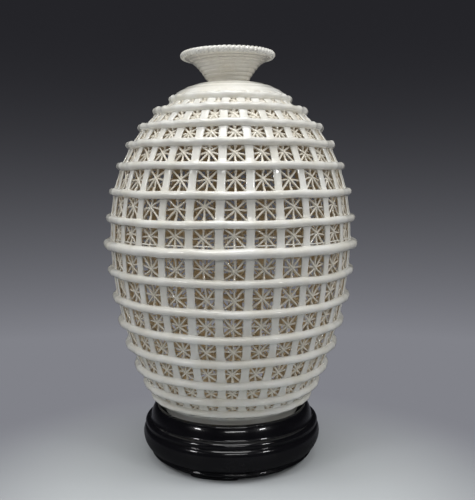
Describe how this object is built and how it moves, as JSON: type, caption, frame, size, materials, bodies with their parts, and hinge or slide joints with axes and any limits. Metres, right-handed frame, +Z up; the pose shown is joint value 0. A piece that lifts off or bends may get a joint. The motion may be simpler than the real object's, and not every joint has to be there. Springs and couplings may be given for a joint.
{
  "type": "openwork vase",
  "caption": "Egg-shaped porcelain vase with an openwork wall of hoops, straps and star threads, a wound trumpet neck and a rope rim, on a turned black wooden stand.",
  "frame": {"origin": "middle of the footprint, on the surface that the stand's feet rest on", "axes": "+Z up along the axis of the vase; -Y towards the side that the picture shows"},
  "size_m": [0.201, 0.201, 0.3224],
  "materials": {
    "white_glaze": "clear glaze over white porcelain",
    "white_glaze_threads": "thin clear glaze over white porcelain threads",
    "black_lacquered_wood": "gloss black lacquer over turned wood"
  },
  "bodies": {
    "stand": {"stand": "black_lacquered_wood", "stand_foot_1": "black_lacquered_wood", "stand_foot_2": "black_lacquered_wood", "stand_foot_3": "black_lacquered_wood"},
    "vase": {"vase_foot": "white_glaze", "shoulder": "white_glaze", "neck_wall": "white_glaze", "neck_winding": "white_glaze", "rim_roll": "white_glaze", "hoop_01": "white_glaze", "hoop_02": "white_glaze", "hoop_03": "white_glaze", "hoop_04": "white_glaze", "hoop_05": "white_glaze", "hoop_06": "white_glaze", "hoop_07": "white_glaze", "hoop_08": "white_glaze", "hoop_09": "white_glaze", "hoop_10": "white_glaze", "hoop_11": "white_glaze", "hoop_12": "white_glaze", "hoop_13": "white_glaze", "hoop_14": "white_glaze", "hoop_15": "white_glaze", "strap_01": "white_glaze", "strap_02": "white_glaze", "strap_03": "white_glaze", "strap_04": "white_glaze", "strap_05": "white_glaze", "strap_06": "white_glaze", "strap_07": "white_glaze", "strap_08": "white_glaze", "strap_09": "white_glaze", "strap_10": "white_glaze", "strap_11": "white_glaze", "strap_12": "white_glaze", "strap_13": "white_glaze", "strap_14": "white_glaze", "strap_15": "white_glaze", "strap_16": "white_glaze", "strap_17": "white_glaze", "strap_18": "white_glaze", "strap_19": "white_glaze", "strap_20": "white_glaze", "strap_21": "white_glaze", "strap_22": "white_glaze", "strap_23": "white_glaze", "strap_24": "white_glaze", "strap_25": "white_glaze", "strap_26": "white_glaze", "strap_27": "white_glaze", "strap_28": "white_glaze", "star_threads_right": "white_glaze_threads", "star_threads_left": "white_glaze_threads", "star_threads_cross": "white_glaze_threads"}
  },
  "joints": [
    {"name": "vase_lift", "type": "slide", "parent": "stand", "child": "vase", "axis": [0, 0, 1], "range_m": [0, 0.06]}
  ]
}
